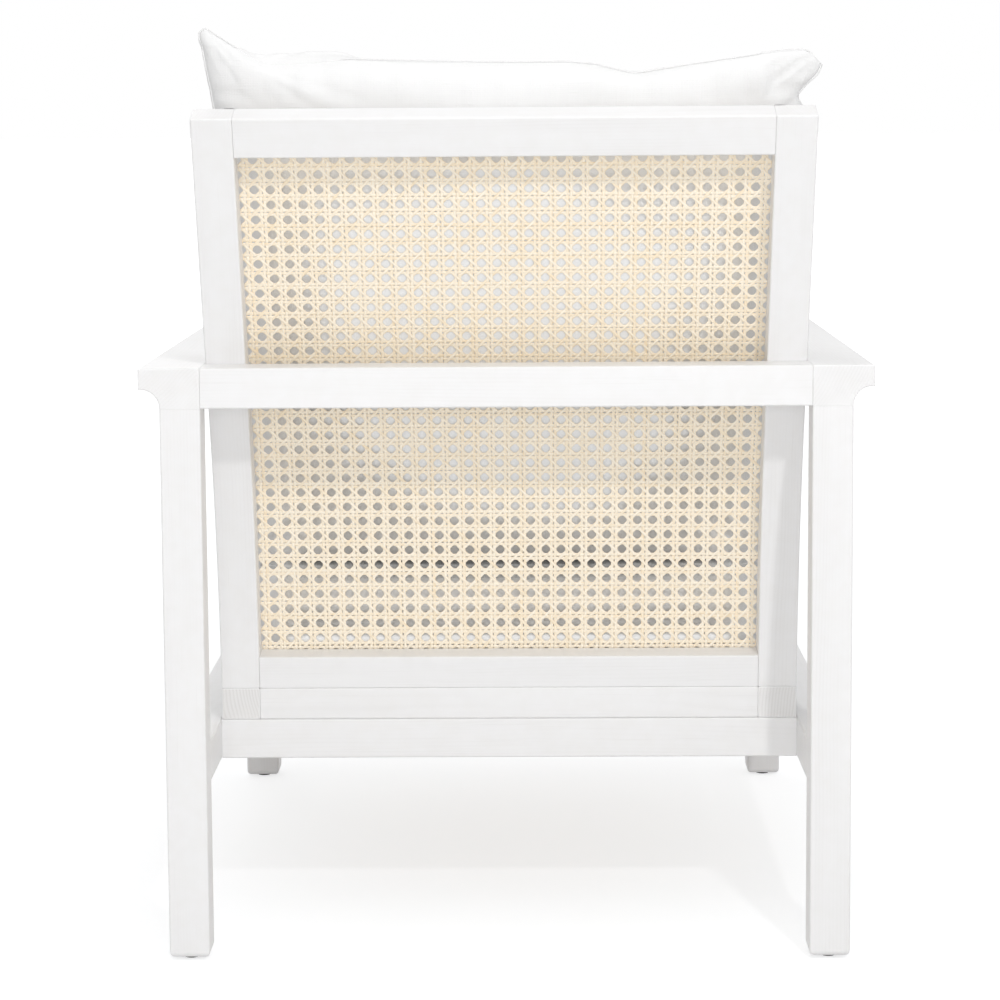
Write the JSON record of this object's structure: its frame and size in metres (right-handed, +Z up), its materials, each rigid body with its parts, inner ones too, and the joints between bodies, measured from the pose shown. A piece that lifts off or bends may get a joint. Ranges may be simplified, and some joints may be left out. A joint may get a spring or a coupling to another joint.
{
  "type": "armchair",
  "caption": "Open-frame wooden armchair with a raked, bent back frame holding a woven cane panel, wide coved arms, a slatted seat frame and loose seat and back cushions.",
  "frame": {"origin": "on the floor, under the middle of the chair's bounding box", "axes": "+X to the sitter's left, +Y to the back of the chair, +Z up"},
  "size_m": [0.716, 0.8024, 0.918],
  "materials": {
    "white_wood": "white wash over solid wood, satin, faint open grain",
    "plain_wood": "unfinished hardwood",
    "cane": "natural split cane webbing, semi-gloss",
    "cushion_fabric": "white slubbed plain weave, matte",
    "filling": "open foam and fibre",
    "zip_tape": "woven tape, matte",
    "steel": "zinc plated",
    "glide": "moulded, matte",
    "pad_rubber": "ribbed, matte"
  },
  "bodies": {
    "frame": {"rear_leg_left": "white_wood", "rear_leg_right": "white_wood", "front_leg_left": "white_wood", "front_leg_right": "white_wood", "arm_left": "white_wood", "arm_right": "white_wood", "side_rail_left": "white_wood", "side_rail_right": "white_wood", "rear_apron": "white_wood", "front_apron": "white_wood", "arm_cross_rail": "white_wood", "seat_rail_left": "white_wood", "seat_rail_right": "white_wood", "seat_rail_rear": "white_wood", "seat_rail_front": "white_wood", "cleat_left": "plain_wood", "cleat_right": "plain_wood", "corner_block_rear_left": "plain_wood", "corner_block_rear_right": "plain_wood", "corner_block_front_left": "plain_wood", "corner_block_front_right": "plain_wood", "seat_slat_1": "plain_wood", "seat_slat_2": "plain_wood", "seat_slat_3": "plain_wood", "seat_slat_4": "plain_wood", "seat_slat_5": "plain_wood", "seat_slat_6": "plain_wood", "back_stile_left": "white_wood", "back_stile_right": "white_wood", "back_top_rail": "white_wood", "back_bottom_rail": "white_wood", "cane_panel": "cane", "spline_left": "cane", "spline_right": "cane", "spline_top": "cane", "spline_bottom": "cane", "glide_rear_left": "glide", "glide_rear_right": "glide", "glide_front_left": "glide", "glide_front_right": "glide", "side_frame_dowels": "plain_wood", "cross_dowels": "plain_wood", "seat_frame_dowels": "plain_wood", "back_frame_dowels": "plain_wood", "seat_bolts": "steel", "back_bolts": "steel", "slat_screws": "steel", "anti_slip_pads": "pad_rubber"},
    "seat_cushion": {"seat_cushion_cover": "cushion_fabric", "seat_cushion_foam": "filling", "seat_cushion_zip": "zip_tape"},
    "back_pillow": {"back_pillow_cover": "cushion_fabric", "back_pillow_filling": "filling", "back_pillow_zip": "zip_tape"}
  },
  "joints": [
    {"name": "seat_cushion_slide", "type": "slide", "parent": "frame", "child": "seat_cushion", "axis": [0, -1, 0], "range_m": [0, 0.62]},
    {"name": "back_pillow_lift", "type": "slide", "parent": "frame", "child": "back_pillow", "axis": [0, 0, 1], "range_m": [0, 0.55]}
  ]
}
